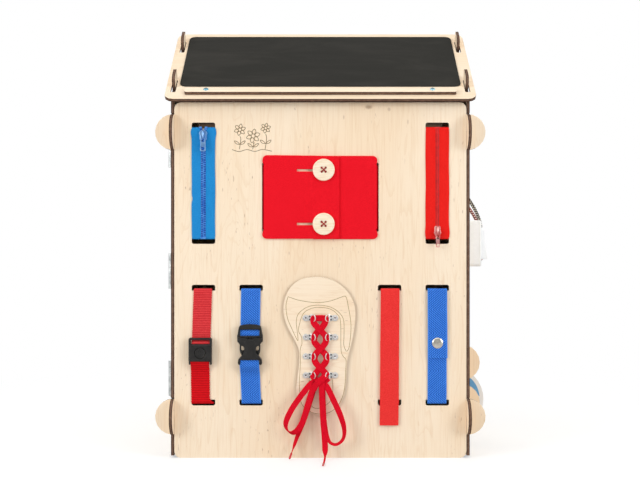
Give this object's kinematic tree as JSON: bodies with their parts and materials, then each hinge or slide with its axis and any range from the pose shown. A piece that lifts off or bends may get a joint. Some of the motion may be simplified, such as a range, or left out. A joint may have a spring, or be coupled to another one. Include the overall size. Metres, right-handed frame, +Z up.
{
  "type": "busy house",
  "caption": "Free-standing plywood activity house for small children, with zippers, buckles, straps, buttoned felt, a lacing shoe, doors, a switch, a turning wheel and a blackboard roof.",
  "frame": {"origin": "on the floor, under the middle of the house's box without the free cords", "axes": "+X to the right seen from the front, +Y to the back, +Z up"},
  "size_m": [0.447, 0.3586, 0.5697],
  "materials": {
    "birch_plywood": "bare birch, laser-cut edges burnt dark brown",
    "blackboard_sheet": "matte black chalk foil",
    "blue_zip_fabric": "woven tape with moulded chain",
    "blue_zip_metal": "pale blue lacquer",
    "red_zip_fabric": "woven tape with moulded chain",
    "red_zip_metal": "pale red lacquer",
    "red_felt": "thick pressed felt",
    "button_wood": "turned wood",
    "red_webbing": "ribbed webbing",
    "blue_webbing": "twill webbing",
    "hook_loop_tape": "fuzzy loop tape",
    "black_plastic": "satin moulded",
    "nickel": "polished nickel",
    "zinc": "zinc plated, satin",
    "red_lace": "flat woven lace",
    "white_plastic": "gloss moulded",
    "white_laminate": "printed laminate on plywood",
    "braided_cord": "patterned braid"
  },
  "bodies": {
    "house": {"front_panel": "birch_plywood", "back_panel": "birch_plywood", "left_wall": "birch_plywood", "right_wall": "birch_plywood", "front_roof": "birch_plywood", "back_roof": "birch_plywood", "blackboard": "blackboard_sheet", "chalk_rail": "birch_plywood", "blue_zip_tape": "blue_zip_fabric", "red_zip_tape": "red_zip_fabric", "felt_top_flap": "red_felt", "felt_under_flap": "red_felt", "felt_button_upper": "button_wood", "felt_button_lower": "button_wood", "ribbed_strap_upper": "red_webbing", "ribbed_strap_lower": "red_webbing", "push_buckle_frame": "black_plastic", "push_buckle_body": "black_plastic", "clip_strap_upper": "blue_webbing", "clip_strap_lower": "blue_webbing", "clip_buckle_plug": "black_plastic", "clip_buckle_body": "black_plastic", "hook_loop_strap_lower": "hook_loop_tape", "stud_strap_lower": "blue_webbing", "shoe_plate": "birch_plywood", "lace_ring_left_1": "zinc", "lace_ring_left_2": "zinc", "lace_ring_left_3": "zinc", "lace_ring_left_4": "zinc", "lace_ring_right_1": "zinc", "lace_ring_right_2": "zinc", "lace_ring_right_3": "zinc", "lace_ring_right_4": "zinc", "lace_crossings": "red_lace", "lace_end_left": "red_lace", "lace_end_right": "red_lace", "upper_hinge_wall_leaf": "zinc", "middle_hinge_wall_leaf": "zinc", "lower_hinge_wall_leaf": "zinc", "switch_box": "white_plastic", "wheel_bracket_front": "birch_plywood", "wheel_bracket_rear": "birch_plywood", "pull_cord": "braided_cord"},
    "blue_slider": {"blue_zip_slider": "blue_zip_metal"},
    "blue_pull": {"blue_zip_pull": "blue_zip_metal"},
    "red_slider": {"red_zip_slider": "red_zip_metal"},
    "red_pull": {"red_zip_pull": "red_zip_metal"},
    "push_button": {"push_buckle_button": "black_plastic"},
    "left_prong": {"clip_prong_left": "black_plastic"},
    "right_prong": {"clip_prong_right": "black_plastic"},
    "hook_loop_flap": {"hook_loop_strap_upper": "hook_loop_tape"},
    "stud_flap": {"stud_strap_upper": "blue_webbing", "stud_cap": "nickel"},
    "upper_leaf": {"upper_door": "birch_plywood", "upper_hinge_door_leaf": "zinc", "middle_hinge_door_leaf": "zinc"},
    "lower_leaf": {"lower_door": "birch_plywood", "lower_hinge_door_leaf": "zinc"},
    "rocker": {"switch_rocker": "white_plastic"},
    "wheel": {"picture_wheel": "white_laminate"}
  },
  "joints": [
    {"name": "blue_zip_slide", "type": "slide", "parent": "house", "child": "blue_slider", "axis": [0, 0, -1], "range_m": [0, 0.122]},
    {"name": "blue_pull_swing", "type": "hinge", "parent": "blue_slider", "child": "blue_pull", "pos_m": [-0.1557, -0.1472, 0.4126], "axis": [-1, 0, 0], "range_deg": [0, 150]},
    {"name": "red_zip_slide", "type": "slide", "parent": "house", "child": "red_slider", "axis": [0, 0, 1], "range_m": [0, 0.122]},
    {"name": "red_pull_swing", "type": "hinge", "parent": "red_slider", "child": "red_pull", "pos_m": [0.1435, -0.1472, 0.2903], "axis": [-1, 0, 0], "range_deg": [0, 150]},
    {"name": "buckle_button_press", "type": "slide", "parent": "house", "child": "push_button", "axis": [0, 1, 0], "range_m": [0, 0.001], "stiffness_N_per_m": 400},
    {"name": "left_prong_squeeze", "type": "hinge", "parent": "house", "child": "left_prong", "pos_m": [-0.1053, -0.1461, 0.1548], "axis": [0, -1, 0], "range_deg": [0, 5], "stiffness_Nm_per_rad": 0.5},
    {"name": "right_prong_squeeze", "type": "hinge", "parent": "house", "child": "right_prong", "pos_m": [-0.0861, -0.1461, 0.1548], "axis": [0, 1, 0], "range_deg": [0, 5], "stiffness_Nm_per_rad": 0.5},
    {"name": "hook_loop_lift", "type": "hinge", "parent": "house", "child": "hook_loop_flap", "pos_m": [0.0825, -0.139, 0.21505], "axis": [-1, 0, 0], "range_deg": [0, 80]},
    {"name": "stud_strap_lift", "type": "hinge", "parent": "house", "child": "stud_flap", "pos_m": [0.1435, -0.139, 0.21505], "axis": [-1, 0, 0], "range_deg": [0, 80]},
    {"name": "upper_door_swing", "type": "hinge", "parent": "house", "child": "upper_leaf", "pos_m": [-0.2002, -0.123, 0.3175], "axis": [0, 0, 1], "range_deg": [0, 100]},
    {"name": "lower_door_swing", "type": "hinge", "parent": "house", "child": "lower_leaf", "pos_m": [-0.2002, -0.123, 0.1], "axis": [0, 0, 1], "range_deg": [0, 100]},
    {"name": "switch_rock", "type": "hinge", "parent": "house", "child": "rocker", "pos_m": [0.2029, -0.049, 0.275], "axis": [0, 1, 0], "range_deg": [0, 12]},
    {"name": "picture_wheel_turn", "type": "hinge", "parent": "house", "child": "wheel", "pos_m": [0.1719, -0.058, 0.0645], "axis": [0, 1, 0], "continuous": true}
  ]
}
